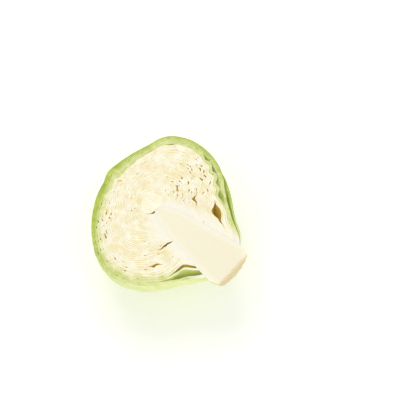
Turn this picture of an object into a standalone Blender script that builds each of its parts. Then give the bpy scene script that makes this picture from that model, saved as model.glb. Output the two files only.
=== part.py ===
"""Half of a round head cabbage, cut lengthwise through its core and laid on its rounded back.

The heart of the head is the point every leaf closes round. It lies in the cut face, at
(0, 0, CUT_HEIGHT). +X runs from the heart to the butt of the stem, +Y across the cut face,
and +Z out of the cut face. The origin is straight below the heart, on the resting patch.

A direction from the heart is held as a point of the unit disc: its middle looks straight
down, its rim lies in the cut plane, (1, 0) looks to the butt and (-1, 0) to the apex. Every
leaf is a shell over part of that disc. It leaves the core near (1, 0), and it ends at its own
round margin or at the cut plane, whichever comes first. Lengths are in metres.
"""

import math
from collections import namedtuple

import bmesh
import bpy
import numpy as np

MM = 0.001

# The head
CUT_HEIGHT = 70.5 * MM
BACK_FLATTENING = 0.069
PRESSED_EDGE = 1.0 * MM
STATION_STEP = 15.0
RIGHT_RADII = (56.9, 57.3, 60.3, 66.4, 78.2, 82.4, 82.7, 82.2, 81.9, 83, 87, 101.5, 107)
LEFT_RADII = (56.9, 53.5, 54.6, 56.9, 61.6, 68.6, 78.3, 86.3, 89.1, 88.4, 88.5, 96.5, 107)

# The core, as distance behind the butt and radius
BUTT_X = 109.5 * MM
CORE_STATIONS = (
    (-0.8, 0.0),
    (-0.6, 11.5),
    (0.0, 19.6),
    (1.4, 21.4),
    (9.0, 24.4),
    (17.0, 24.0),
    (34.0, 21.4),
    (52.0, 18.6),
    (70.0, 16.0),
    (84.0, 13.2),
    (92.0, 10.4),
    (97.4, 7.0),
    (100.6, 3.6),
    (101.6, 0.0),
)
CORE_TURN_STEPS = 56
CORE_GAP = 0.35 * MM

# The heart bud
BUD_RADII = (6.2 * MM, 8.2 * MM, 8.2 * MM)
BUD_X = -1.2 * MM

# The leaves, counted inwards
OUTER_COUNT = 12
INNER_COUNT = 17
GOLDEN_ANGLE = 137.508
FIRST_ANGLE = 205.0
HEART_SHARE = 0.115
LEAF_FILL = 0.60
LEAF_GRID = (16, 4)
MARGIN_OUTSIDE = 0.12
MARGIN_INSIDE = 0.08
UNCOVERED_SLOT = 0.25
SWELL_ANGLE = 38.0
RIB_SWELL = 3.2
FIRST_RIB_SWELL = 7.0
RAY_LIMIT = 86.0
BASE_GAP = 0.05

# The cutters
BLOCK = 0.4
PLUG_SIDES = 20
PLUG_RIM = 1.15
PLUG_FAR = 200.0 * MM
PLUG_NEAR = 1.5 * MM

Leaf = namedtuple("Leaf", "name angle reach wrap slot swell rays rings")
Pocket = namedtuple("Pocket", "turn radius spread inward width")

WRAPPERS = (
    Leaf("wrapper_leaf_1", -32.0, 2.35, 1.02, 1.25, 0.3, 32, 8),
    Leaf("wrapper_leaf_2", 55.0, 3.00, 1.05, 1.50, 0.5, 32, 8),
    Leaf("wrapper_leaf_3", 8.0, 2.50, 1.50, 1.15, 1.0, 16, 4),
)

# Hollows between leaves: turn from the butt and outer radius round the heart, in the cut face
POCKETS = (
    Pocket(44.0, 84.0, 26.0, 0.20, 2.2),
    Pocket(40.0, 79.5, 22.0, 0.20, 3.0),
    Pocket(-20.0, 88.5, 12.0, 0.24, 8.0),
    Pocket(-21.0, 77.0, 9.0, 0.18, 3.4),
    Pocket(32.0, 68.0, 6.0, 0.14, 10.0),
    Pocket(48.0, 69.5, 4.5, 0.10, 6.0),
    Pocket(60.0, 71.5, 4.0, 0.10, 4.2),
    Pocket(72.0, 74.5, 3.5, 0.10, 3.6),
    Pocket(83.0, 76.5, 3.0, 0.08, 3.4),
    Pocket(115.0, 70.0, 3.0, 0.08, 2.0),
    Pocket(-44.0, 68.0, 4.0, 0.10, 2.6),
    Pocket(46.5, 42.5, 6.0, 0.12, 2.6),
    Pocket(-28.0, 47.5, 7.5, 0.12, 2.4),
)

# Materials
LEAF_GREEN = (0.445, 0.500, 0.080, 1.0)
LEAF_PALE = (0.700, 0.730, 0.330, 1.0)
LEAF_CREAM = (0.920, 0.850, 0.560, 1.0)
CORE_CREAM = (0.900, 0.830, 0.600, 1.0)
LEAF_ROUGHNESS = 0.45
CORE_ROUGHNESS = 0.5


def clear_scene():
    for obj in list(bpy.data.objects):
        bpy.data.objects.remove(obj, do_unlink=True)


def new_collection(name):
    made = bpy.data.collections.new(name)
    bpy.context.scene.collection.children.link(made)
    return made


def material(name, colour, roughness):
    made = bpy.data.materials.new(name)
    made.use_nodes = True
    shader = made.node_tree.nodes["Principled BSDF"]
    shader.inputs["Base Color"].default_value = colour
    shader.inputs["Roughness"].default_value = roughness
    return made


def smooth(x):
    """0 below 0, 1 above 1, and an even S between."""
    x = np.clip(x, 0.0, 1.0)
    return x * x * (3.0 - 2.0 * x)


def through_stations(radii, degrees):
    """A smooth radius through stations set STATION_STEP apart, mirrored at both ends."""
    held = np.array([radii[1], *radii, radii[-2]])
    place = np.clip(degrees / STATION_STEP, 0.0, len(radii) - 1.001)
    index = place.astype(int)
    part = place - index
    before, start, end, after = (held[index + step] for step in range(4))
    bend = 2 * before - 5 * start + 4 * end - after
    twist = 3 * (start - end) + after - before
    return 0.5 * (2 * start + (end - before) * part + bend * part**2 + twist * part**3)


def directions(disc):
    """Unit vectors from the heart for points of the disc."""
    size = np.minimum(np.hypot(disc[:, 0], disc[:, 1]), 1.0)
    lean = size * math.pi / 2
    spread = np.sin(lean) / np.maximum(size, 1e-9)
    down = np.where(size > 1.0 - 1e-7, 0.0, -np.cos(lean))
    return np.column_stack([disc[:, 0] * spread, disc[:, 1] * spread, down])


def head_radius(away):
    """Distance from the heart to the outside of the head, pressed flat where it rests."""
    from_apex = np.degrees(np.arccos(np.clip(-away[:, 0], -1.0, 1.0)))
    right = through_stations(RIGHT_RADII, from_apex) * MM
    left = through_stations(LEFT_RADII, from_apex) * MM
    across = away[:, 1] / np.maximum(np.hypot(away[:, 1], away[:, 2]), 1e-9)
    radius = (right + left) / 2 + (right - left) / 2 * across
    radius = radius * (1.0 - BACK_FLATTENING * away[:, 2] ** 2)
    downward = np.maximum(-away[:, 2], 1e-6)
    above = CUT_HEIGHT - radius * downward
    lifted = np.clip(above + PRESSED_EDGE, 0.0, None) ** 2 / (4.0 * PRESSED_EDGE)
    return (CUT_HEIGHT - np.where(above > PRESSED_EDGE, above, lifted)) / downward


def margin_circle(leaf):
    """Centre and radius, on the disc, of the circle that bounds a leaf."""
    behind = leaf.wrap**2 / leaf.reach
    offset = (leaf.reach - behind) / 2
    turn = math.radians(leaf.angle)
    centre = np.array([1.0 - offset * math.cos(turn), offset * math.sin(turn)])
    return centre, (leaf.reach + behind) / 2


def coverage(leaf, disc):
    """1 well inside a leaf, falling to UNCOVERED_SLOT past its margin."""
    centre, radius = margin_circle(leaf)
    inside = radius - np.hypot(*(disc - centre).T)
    covered = smooth((inside + MARGIN_OUTSIDE) / (MARGIN_OUTSIDE + MARGIN_INSIDE))
    return UNCOVERED_SLOT + (1.0 - UNCOVERED_SLOT) * covered


def leaf_plan():
    """Every leaf from the outside in. Each follows the last by the golden angle."""
    leaves = list(WRAPPERS)
    total = OUTER_COUNT + INNER_COUNT
    for index in range(total):
        outer = index < OUTER_COUNT
        number = index + 1 if outer else index - OUTER_COUNT + 1
        name = f"{'outer' if outer else 'inner'}_leaf_{number:02d}"
        around = (FIRST_ANGLE + GOLDEN_ANGLE * index) % 360.0
        wave = math.sin(2.4 * index + 0.7)
        rays, rings = LEAF_GRID
        if math.sin(math.radians(around)) > -0.25:
            angle = float(np.clip(90.0 - (around if around < 270 else around - 360), -76, 76))
            reach = 2.32 + 0.10 * wave + 0.006 * abs(angle)
            wrap = 1.34 + 0.16 * math.sin(1.7 * index)
        else:
            angle = math.copysign(78.0, math.cos(math.radians(around)))
            reach = 2.15 + 0.25 * wave
            wrap = 0.72 + 0.18 * math.sin(1.7 * index)
        slot = 1.0 + 0.12 * math.sin(3.9 * index)
        swell = FIRST_RIB_SWELL if index < 2 else RIB_SWELL * (1.0 - index / total)
        leaves.append(Leaf(name, angle, reach, wrap, slot, swell, rays, rings))
    return leaves


class Stack:
    """The leaves packed between the outside of the head and its heart."""

    def __init__(self, leaves, pockets):
        self.leaves = leaves
        self.hollows = []
        for pocket in pockets:
            self.hollows.append(self.placed(pocket))

    def placed(self, pocket):
        """A pocket with the leaf it lies outside of, and its size in leaf slots."""
        turn = math.radians(pocket.turn)
        spot = np.array([[math.cos(turn), math.sin(turn)]])
        before, weights, total = self.slots(spot)
        radius = head_radius(directions(spot))[0]
        shares = 1.0 - (1.0 - HEART_SHARE) * before[:, 0] / total[0]
        misses = np.abs(shares * radius - pocket.radius * MM) + (weights[:, 0] < 0.5)
        per_slot = radius * (1.0 - HEART_SHARE) / total[0]
        return int(np.argmin(misses)), pocket.width * MM / per_slot, pocket

    def hollow(self, pocket, disc):
        """A pocket's size over the disc, as a share of its greatest."""
        turn = np.arctan2(disc[:, 1], disc[:, 0]) - math.radians(pocket.turn)
        turn = (turn + math.pi) % (2 * math.pi) - math.pi
        along = turn / math.radians(pocket.spread)
        inward = (1.0 - np.minimum(np.hypot(disc[:, 0], disc[:, 1]), 1.0)) / pocket.inward
        return np.exp(-(along**2) - inward**2)

    def slots(self, disc):
        """Slots outside each leaf, each leaf's own slot, and the total, at every point."""
        from_butt = np.arccos(np.clip(directions(disc)[:, 0], -1.0, 1.0))
        near = np.exp(-((from_butt / math.radians(SWELL_ANGLE)) ** 2))
        weights = np.array(
            [leaf.slot * (1.0 + leaf.swell * near) * coverage(leaf, disc) for leaf in self.leaves]
        )
        before = np.cumsum(weights, axis=0) - weights
        total = weights.sum(axis=0) + 0.6
        for index, size, pocket in self.hollows:
            extra = size * self.hollow(pocket, disc)
            before[index:] += extra
            total = total + extra
        return before, weights, total

    def points(self, index, disc, share):
        """Points on a leaf: share 0 is its outer face and share 1 its inner face."""
        before, weights, total = self.slots(disc)
        depth = (before[index] + share * LEAF_FILL * weights[index]) / total
        away = directions(disc)
        radius = head_radius(away) * (1.0 - (1.0 - HEART_SHARE) * depth)
        made = away * radius[:, None]
        made[:, 2] += CUT_HEIGHT
        return made


def slab(rays, rings):
    """A closed slab, one unit on a side, from a grid made solid."""
    mesh = bmesh.new()
    bmesh.ops.create_grid(mesh, x_segments=rays, y_segments=rings, size=0.5)
    bmesh.ops.triangulate(mesh, faces=mesh.faces[:], quad_method="FIXED")
    bmesh.ops.solidify(mesh, geom=mesh.faces[:], thickness=1.0)
    return mesh


def corners(mesh):
    return np.array([vert.co[:] for vert in mesh.verts])


def moved(mesh, points):
    for vert, point in zip(mesh.verts, points):
        vert.co = point


def finished(mesh, name, collection):
    """An object of the mesh, with its faces turned outwards."""
    bmesh.ops.recalc_face_normals(mesh, faces=mesh.faces[:])
    if mesh.calc_volume(signed=True) < 0.0:
        bmesh.ops.reverse_faces(mesh, faces=mesh.faces[:])
    data = bpy.data.meshes.new(name)
    mesh.to_mesh(data)
    mesh.free()
    made = bpy.data.objects.new(name, data)
    collection.objects.link(made)
    return made


def outline_cutter(leaf, collection):
    """A wide plug, spread from the heart, whose sides follow the margin of the leaf."""
    centre, radius = margin_circle(leaf)
    distance = math.hypot(*centre)
    towards = centre / max(distance, 1e-6)
    nearest = max(distance - radius, -PLUG_RIM)
    middle = towards * (nearest + PLUG_RIM) / 2
    mesh = bmesh.new()
    bmesh.ops.create_uvsphere(mesh, u_segments=PLUG_SIDES, v_segments=8, radius=1.0)
    sphere = corners(mesh)
    turn = np.arctan2(sphere[:, 1], sphere[:, 0])
    heading = np.column_stack([np.cos(turn), np.sin(turn)])

    def run(origin, size):
        """How far a point inside a circle is from its edge along each heading."""
        away = middle - origin
        along = heading @ away
        return -along + np.sqrt(along**2 - away @ away + size**2)

    edge = np.minimum(run(centre, radius), run(np.zeros(2), PLUG_RIM))
    ring = np.round(np.degrees(np.arccos(np.clip(sphere[:, 2], -1.0, 1.0))) / 22.5)
    part = np.interp(ring, range(9), (0.0, 0.25, 0.5, 0.75, 1.0, 1.0, 0.6, 0.3, 0.0))
    spots = middle + heading * (edge * part)[:, None]
    lean = np.hypot(spots[:, 0], spots[:, 1]) * math.pi / 2
    unit = spots / np.maximum(np.hypot(spots[:, 0], spots[:, 1]), 1e-9)[:, None]
    away = np.column_stack([unit * np.sin(lean)[:, None], -np.cos(lean)])
    points = away * np.where(ring < 4.5, PLUG_FAR, PLUG_NEAR)[:, None]
    points[:, 2] += CUT_HEIGHT
    moved(mesh, points)
    return hidden(finished(mesh, f"{leaf.name}_outline", collection))


def hidden(cutter):
    cutter.hide_render = True
    cutter.display_type = "WIRE"
    return cutter


def boolean(obj, operation, cutter):
    cut = obj.modifiers.new(cutter.name, "BOOLEAN")
    cut.operation = operation
    cut.solver = "EXACT"
    cut.object = cutter


def leaf_object(stack, index, collection, cutters, clearance, finish):
    """One leaf: a shell over the whole half head, cut to its outline and round the core."""
    leaf = stack.leaves[index]
    mesh = slab(leaf.rays, leaf.rings)
    grid = corners(mesh)
    gamma = grid[:, 0] * 2.0 * math.radians(RAY_LIMIT)
    t = BASE_GAP + (grid[:, 1] + 0.5) * (2.0 * np.cos(gamma) - BASE_GAP)
    disc = np.column_stack([1.0 - t * np.cos(gamma), t * np.sin(gamma)])
    outer_points = stack.points(index, disc, 0.0)
    inner_points = stack.points(index, disc, 1.0)
    moved(mesh, np.where(grid[:, 2:] < -0.5, inner_points, outer_points))
    shell = finished(mesh, leaf.name, collection)
    boolean(shell, "INTERSECT", outline_cutter(leaf, cutters))
    boolean(shell, "DIFFERENCE", clearance)
    shell.data.materials.append(finish)
    return shell


def block_cutter(name, side, middle, collection):
    bpy.ops.mesh.primitive_cube_add(size=side, location=(0.0, 0.0, middle))
    block = hidden(bpy.context.object)
    block.name = name
    for home in list(block.users_collection):
        home.objects.unlink(block)
    collection.objects.link(block)
    return block


def turned_core(name, collection, gap):
    """The stem, a turned cone from the butt to its tip by the heart, or a skin round it."""
    data = bpy.data.meshes.new(name)
    profile = []
    for along, radius in CORE_STATIONS:
        past = -gap if along < 0.0 else 0.0
        past = gap if along > CORE_STATIONS[-2][0] else past
        profile.append(((radius * MM + gap) if radius else 0.0, 0.0, -along * MM - past))
    data.from_pydata(profile, [(i, i + 1) for i in range(len(profile) - 1)], [])
    core = bpy.data.objects.new(name, data)
    collection.objects.link(core)
    core.location = (BUTT_X, 0.0, CUT_HEIGHT)
    core.rotation_euler = (0.0, math.pi / 2, 0.0)
    turn = core.modifiers.new("turned", "SCREW")
    turn.steps = CORE_TURN_STEPS
    turn.render_steps = CORE_TURN_STEPS
    turn.use_merge_vertices = True
    turn.merge_threshold = 0.00005
    return core


def bud_object(collection, block, finish):
    """The heart bud: the smallest leaves, too tightly folded to part."""
    bpy.ops.mesh.primitive_uv_sphere_add(
        segments=24, ring_count=12, radius=1.0, location=(BUD_X, 0.0, CUT_HEIGHT)
    )
    bud = bpy.context.object
    bud.name = "heart_bud"
    bud.data.name = "heart_bud"
    bud.scale = BUD_RADII
    for home in list(bud.users_collection):
        home.objects.unlink(bud)
    collection.objects.link(bud)
    boolean(bud, "DIFFERENCE", block)
    bud.data.materials.append(finish)
    return bud


def main():
    clear_scene()
    cabbage = new_collection("cabbage_half")
    cutters = new_collection("cutters")
    upper_block = block_cutter("upper_block", BLOCK, CUT_HEIGHT + BLOCK / 2, cutters)
    clearance = hidden(turned_core("core_clearance", cutters, CORE_GAP))
    stack = Stack(leaf_plan(), POCKETS)
    for index, leaf in enumerate(stack.leaves):
        if leaf.name.startswith("wrapper"):
            colour = LEAF_GREEN
        elif leaf.name.startswith("outer"):
            colour = LEAF_PALE
        else:
            colour = LEAF_CREAM
        finish = material(f"{leaf.name}_skin", colour, LEAF_ROUGHNESS)
        leaf_object(stack, index, cabbage, cutters, clearance, finish)
    core = turned_core("core", cabbage, 0.0)
    boolean(core, "DIFFERENCE", upper_block)
    core.data.materials.append(material("core_flesh", CORE_CREAM, CORE_ROUGHNESS))
    bud_object(cabbage, upper_block, material("heart_bud_flesh", LEAF_CREAM, LEAF_ROUGHNESS))


main()
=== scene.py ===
"""The looks of half a round head cabbage, cut lengthwise and lying on its back.

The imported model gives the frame. Every leaf, the core and the heart bud get a detailed mesh that
stands for its plain solid, in the same place. The heart is the point every leaf closes round. It
lies in the cut face, above the origin. A direction from the heart is a point of the unit disc:
its middle looks straight down, its rim lies in the cut plane, and (1, 0) looks to the butt.
"""

import logging
import math
from dataclasses import dataclass, field
from enum import Enum

import bpy
import numpy as np
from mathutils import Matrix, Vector


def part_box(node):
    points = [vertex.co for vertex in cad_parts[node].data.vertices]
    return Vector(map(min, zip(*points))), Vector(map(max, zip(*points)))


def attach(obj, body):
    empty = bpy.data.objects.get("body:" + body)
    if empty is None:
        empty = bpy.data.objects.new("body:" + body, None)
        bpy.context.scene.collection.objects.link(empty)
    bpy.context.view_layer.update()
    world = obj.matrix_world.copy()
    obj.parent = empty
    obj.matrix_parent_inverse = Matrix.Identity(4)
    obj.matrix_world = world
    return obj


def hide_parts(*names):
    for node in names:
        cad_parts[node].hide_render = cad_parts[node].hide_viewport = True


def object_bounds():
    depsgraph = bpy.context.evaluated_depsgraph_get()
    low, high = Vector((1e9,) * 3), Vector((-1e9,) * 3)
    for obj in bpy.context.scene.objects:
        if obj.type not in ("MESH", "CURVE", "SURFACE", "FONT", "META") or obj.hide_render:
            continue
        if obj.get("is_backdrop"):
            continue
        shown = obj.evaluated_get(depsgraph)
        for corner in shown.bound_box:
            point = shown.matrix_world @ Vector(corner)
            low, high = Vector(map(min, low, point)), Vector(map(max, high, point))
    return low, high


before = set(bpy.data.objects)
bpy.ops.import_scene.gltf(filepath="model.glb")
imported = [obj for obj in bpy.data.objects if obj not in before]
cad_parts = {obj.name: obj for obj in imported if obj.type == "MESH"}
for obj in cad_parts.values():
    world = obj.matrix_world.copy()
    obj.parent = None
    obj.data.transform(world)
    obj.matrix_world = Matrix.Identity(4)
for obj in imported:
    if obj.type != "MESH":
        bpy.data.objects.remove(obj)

MM = 0.001
LOG = logging.getLogger("cabbage_half")
Array = np.ndarray
Socket = bpy.types.NodeSocket


class Zone(Enum):
    """Where in the head a leaf grows, with the record's material slot of that zone."""

    WRAPPER = "wrapper_leaf_skin"
    OUTER = "outer_leaf_flesh"
    INNER = "inner_leaf_flesh"


def smooth(x: Array) -> Array:
    """An even S from 0 at 0 to 1 at 1.

    Args:
        x: Where on the S to read it.

    Returns:
        The height of the S.
    """
    x = np.clip(x, 0.0, 1.0)
    return x * x * (3.0 - 2.0 * x)


def linear(code: str) -> tuple[float, float, float, float]:
    """A colour for a shader socket.

    Args:
        code: The colour as six sRGB hex digits.

    Returns:
        The linear red, green, blue and alpha.
    """
    parts = [int(code[place : place + 2], 16) / 255.0 for place in (0, 2, 4)]
    bent = [part / 12.92 if part <= 0.04045 else ((part + 0.055) / 1.055) ** 2.4 for part in parts]
    return (bent[0], bent[1], bent[2], 1.0)


# ---------------------------------------------------------------------------------------------
# The shape that the leaves share
# ---------------------------------------------------------------------------------------------


@dataclass(frozen=True)
class HeadShape:
    """The outside of the head, as distances from its heart."""

    cut_height: float
    butt_x: float
    back_flattening: float = 0.069
    pressed_edge: float = 1.0 * MM
    station_step: float = 15.0
    right_radii: tuple[float, ...] = (
        *(56.9, 57.3, 60.3, 66.4, 78.2, 82.4, 82.7),
        *(82.2, 81.9, 83.0, 87.0, 101.5, 107.0),
    )
    left_radii: tuple[float, ...] = (
        *(56.9, 53.5, 54.6, 56.9, 61.6, 68.6, 78.3),
        *(86.3, 89.1, 88.4, 88.5, 96.5, 107.0),
    )
    core_stations: tuple[tuple[float, float], ...] = (
        (-0.8, 0.0),
        (-0.6, 11.5),
        (0.0, 19.6),
        (1.4, 21.4),
        (9.0, 24.4),
        (17.0, 24.0),
        (34.0, 21.4),
        (52.0, 18.6),
        (70.0, 16.0),
        (84.0, 13.2),
        (92.0, 10.4),
        (97.4, 7.0),
        (100.6, 3.6),
        (101.6, 0.0),
    )

    def through(self, radii: tuple[float, ...], degrees: Array) -> Array:
        """A smooth radius through evenly spaced stations.

        Args:
            radii: The stations' radii in millimetres, from the apex to the butt.
            degrees: Angles from the apex.

        Returns:
            The radius in metres at each angle.
        """
        held = np.array([radii[1], *radii, radii[-2]]) * MM
        place = np.clip(degrees / self.station_step, 0.0, len(radii) - 1.001)
        index = place.astype(int)
        part = place - index
        before, start, end, after = (held[index + step] for step in range(4))
        bend = 2 * before - 5 * start + 4 * end - after
        twist = 3 * (start - end) + after - before
        return 0.5 * (2 * start + (end - before) * part + bend * part**2 + twist * part**3)

    def directions(self, disc: Array) -> Array:
        """Unit vectors from the heart for points of the disc.

        Args:
            disc: Points of the disc, one to a row.

        Returns:
            The unit vectors, one to a row.
        """
        size = np.hypot(disc[:, 0], disc[:, 1])
        lean = size * math.pi / 2
        spread = np.sin(lean) / np.maximum(size, 1e-9)
        down = np.where(np.abs(size - 1.0) < 1e-7, 0.0, -np.cos(lean))
        return np.column_stack([disc[:, 0] * spread, disc[:, 1] * spread, down])

    def radius(self, away: Array) -> Array:
        """Distance from the heart to the outside of the head, pressed flat where it rests.

        Args:
            away: Unit vectors from the heart.

        Returns:
            The distance along each, in metres.
        """
        from_apex = np.degrees(np.arccos(np.clip(-away[:, 0], -1.0, 1.0)))
        right = self.through(self.right_radii, from_apex)
        left = self.through(self.left_radii, from_apex)
        across = away[:, 1] / np.maximum(np.hypot(away[:, 1], away[:, 2]), 1e-9)
        radius = (right + left) / 2 + (right - left) / 2 * across
        radius = radius * (1.0 - self.back_flattening * away[:, 2] ** 2)
        downward = np.maximum(-away[:, 2], 1e-6)
        above = self.cut_height - radius * downward
        lifted = np.clip(above + self.pressed_edge, 0.0, None) ** 2 / (4.0 * self.pressed_edge)
        return (self.cut_height - np.where(above > self.pressed_edge, above, lifted)) / downward

    def core_radius(self, x: Array) -> Array:
        """The radius of the core at places along it.

        Args:
            x: Places along X in metres.

        Returns:
            The radius at each, in metres, and 0 past either end.
        """
        along = np.array([self.butt_x - station[0] * MM for station in self.core_stations])
        sizes = np.array([station[1] * MM for station in self.core_stations])
        return np.interp(x, along[::-1], sizes[::-1], left=0.0, right=0.0)


@dataclass(frozen=True)
class Leaf:
    """One leaf: the way it heads, how far it reaches and wraps, its slot, and how it swells."""

    name: str
    zone: Zone
    angle: float
    reach: float
    wrap: float
    slot: float
    swell: float

    def circle(self) -> tuple[Array, float]:
        """The centre and radius, on the disc, of the circle that bounds the leaf."""
        behind = self.wrap**2 / self.reach
        offset = (self.reach - behind) / 2
        turn = math.radians(self.angle)
        centre = np.array([1.0 - offset * math.cos(turn), offset * math.sin(turn)])
        return centre, (self.reach + behind) / 2

    def run(self, gamma: Array) -> Array:
        """How far the leaf runs from (1, 0) along rays.

        Args:
            gamma: The rays' angles.

        Returns:
            The length of each ray to the margin, with the margin's shallow waves.
        """
        behind = self.wrap**2 / self.reach
        offset = (self.reach - behind) / 2
        radius = (self.reach + behind) / 2
        turn = gamma - math.radians(self.angle)
        edge = offset * np.cos(turn) + np.sqrt(radius**2 - (offset * np.sin(turn)) ** 2)
        waves = np.sin(9.0 * gamma + self.angle) + 0.6 * np.sin(17.0 * gamma + 2.0 * self.angle)
        return edge * (1.0 + 0.012 * waves)


@dataclass(frozen=True)
class Pocket:
    """A hollow between leaves: turn and radius round the heart, spread, depth and width."""

    turn: float
    radius: float
    spread: float
    inward: float
    width: float


@dataclass(frozen=True)
class LeafPlan:
    """The order of the leaves. Each follows the last by the golden angle."""

    outer_count: int = 12
    inner_count: int = 17
    golden_angle: float = 137.508
    first_angle: float = 205.0
    rib_swell: float = 3.2
    first_rib_swell: float = 7.0
    deepest_side: float = -0.25
    most_angle: float = 76.0
    deep_reach: float = 2.32
    deep_wrap: float = 1.34
    side_angle: float = 78.0
    side_reach: float = 2.15
    side_wrap: float = 0.72

    def wrappers(self) -> list[Leaf]:
        """The three outermost leaves."""
        return [
            Leaf("wrapper_leaf_1", Zone.WRAPPER, -32.0, 2.35, 1.02, 1.25, 0.3),
            Leaf("wrapper_leaf_2", Zone.WRAPPER, 55.0, 3.00, 1.05, 1.50, 0.5),
            Leaf("wrapper_leaf_3", Zone.WRAPPER, 8.0, 2.50, 1.50, 1.15, 1.0),
        ]

    def leaves(self) -> list[Leaf]:
        """Every leaf, from the outside in."""
        made = self.wrappers()
        total = self.outer_count + self.inner_count
        for index in range(total):
            outer = index < self.outer_count
            number = index + 1 if outer else index - self.outer_count + 1
            name = f"{'outer' if outer else 'inner'}_leaf_{number:02d}"
            around = (self.first_angle + self.golden_angle * index) % 360.0
            wave = math.sin(2.4 * index + 0.7)
            if math.sin(math.radians(around)) > self.deepest_side:
                lean = 90.0 - (around if around < 270 else around - 360)
                angle = float(np.clip(lean, -self.most_angle, self.most_angle))
                reach = self.deep_reach + 0.10 * wave + 0.006 * abs(angle)
                wrap = self.deep_wrap + 0.16 * math.sin(1.7 * index)
            else:
                angle = math.copysign(self.side_angle, math.cos(math.radians(around)))
                reach = self.side_reach + 0.25 * wave
                wrap = self.side_wrap + 0.18 * math.sin(1.7 * index)
            slot = 1.0 + 0.12 * math.sin(3.9 * index)
            swell = self.first_rib_swell if index < 2 else self.rib_swell * (1.0 - index / total)
            zone = Zone.OUTER if outer else Zone.INNER
            made.append(Leaf(name, zone, angle, reach, wrap, slot, swell))
        return made


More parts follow.
